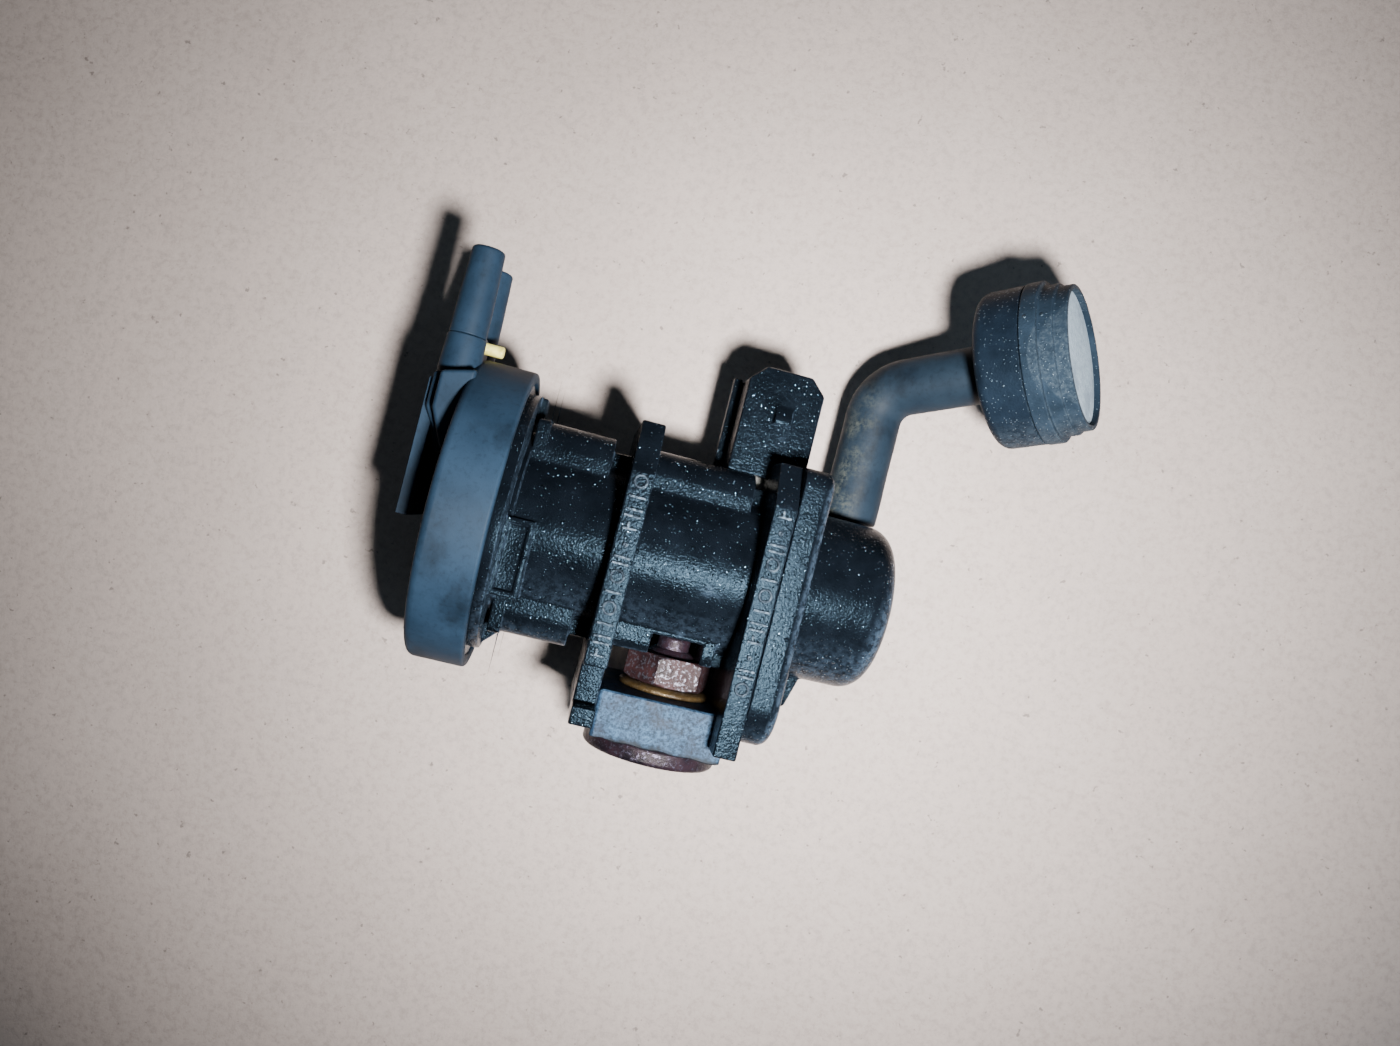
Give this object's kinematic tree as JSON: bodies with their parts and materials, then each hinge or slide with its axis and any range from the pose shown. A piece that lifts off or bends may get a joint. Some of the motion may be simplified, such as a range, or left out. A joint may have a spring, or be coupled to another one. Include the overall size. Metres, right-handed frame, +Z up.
{
  "type": "solenoid vacuum regulating valve",
  "caption": "Solenoid vacuum valve: lobed black body between two flanges, domed cover, rubber twin-port connector, plug socket, rubber-mounted bolt and a vent hose with a round filter.",
  "frame": {"origin": "centre of the fixing bolt head's outer face", "axes": "+X along the valve axis from the hose ports to the dome, +Y from the fixing face through the valve axis, +Z up while the valve lies on its side"},
  "size_m": [0.1096, 0.0933, 0.05],
  "materials": {
    "black_plastic": "moulded black plastic wetted by oil, semi-gloss",
    "blue_rubber": "matte blue-grey rubber",
    "hose_rubber": "dusty blue-grey rubber",
    "block_rubber": "grey-blue rubber with a dry surface",
    "seal_rubber": "soft black rubber",
    "filter_plastic": "dusty dark blue-grey plastic",
    "felt": "dusty grey felt",
    "foam": "open-cell foam",
    "yellow_plastic": "yellow plastic",
    "bobbin_plastic": "dark filled plastic",
    "brass": "turned brass",
    "copper_wire": "enamelled copper wire",
    "tinned_metal": "tinned brass blades",
    "plain_steel": "soft magnetic steel",
    "spring_steel": "spring steel",
    "rusty_steel": "steel with red-brown rust",
    "plated_steel": "yellow-plated steel, worn"
  },
  "bodies": {
    "valve": {"valve_housing": "black_plastic", "end_cover": "black_plastic", "cover_gasket": "seal_rubber", "port_plate": "black_plastic", "nipple_seals": "seal_rubber", "valve_seat": "brass", "plug_socket": "black_plastic", "terminal_carrier": "bobbin_plastic", "terminal_blades": "tinned_metal", "flux_can": "plain_steel", "coil_bobbin": "bobbin_plastic", "coil_winding": "copper_wire", "pole_piece": "plain_steel", "leaf_spring": "spring_steel", "bias_spring": "spring_steel", "isolator_block": "block_rubber", "spacer_sleeve": "rusty_steel", "fixing_bolt": "rusty_steel", "plain_washer": "plated_steel", "hex_nut": "rusty_steel"},
    "armature": {"armature": "plain_steel", "valve_pad": "seal_rubber"},
    "spring_seat": {"spring_seat": "brass"},
    "adjusting_screw": {"adjusting_screw": "brass"},
    "port_connector": {"port_manifold": "blue_rubber", "vacuum_tube_upper": "blue_rubber", "vacuum_tube_lower": "blue_rubber", "tube_joiners": "bobbin_plastic", "restrictor_pin": "yellow_plastic"},
    "vent_line": {"vent_hose": "hose_rubber", "filter_cup": "filter_plastic", "filter_foam": "foam"},
    "filter_cover": {"filter_cap": "filter_plastic", "filter_disc": "felt"}
  },
  "joints": [
    {"name": "armature_slide", "type": "slide", "parent": "valve", "child": "armature", "axis": [1, 0, 0], "range_m": [0, 0.0005], "stiffness_N_per_m": 400, "springref_m": -0.001, "deforming": ["leaf_spring", "bias_spring"]},
    {"name": "spring_seat_slide", "type": "slide", "parent": "valve", "child": "spring_seat", "axis": [1, 0, 0], "range_m": [-0.001, 0.001], "deforming": ["bias_spring"]},
    {"name": "adjusting_screw_turn", "type": "hinge", "parent": "spring_seat", "child": "adjusting_screw", "pos_m": [0, 0.0324, 0], "axis": [1, 0, 0], "range_deg": [-725, 725]},
    {"name": "port_connector_pull", "type": "slide", "parent": "valve", "child": "port_connector", "axis": [-1, 0, 0], "range_m": [0, 0.014]},
    {"name": "vent_line_swivel", "type": "hinge", "parent": "valve", "child": "vent_line", "pos_m": [0.0263, 0.047, -0.0092], "axis": [0, 1, 0], "range_deg": [-35, 30]},
    {"name": "filter_cover_pull", "type": "slide", "parent": "vent_line", "child": "filter_cover", "axis": [0.74, 0.2912, 0.6063], "range_m": [0, 0.01]}
  ],
  "couplings": [
    {"joint": "adjusting_screw_turn", "follows": "spring_seat_slide", "rad_per_m": 12566}
  ]
}
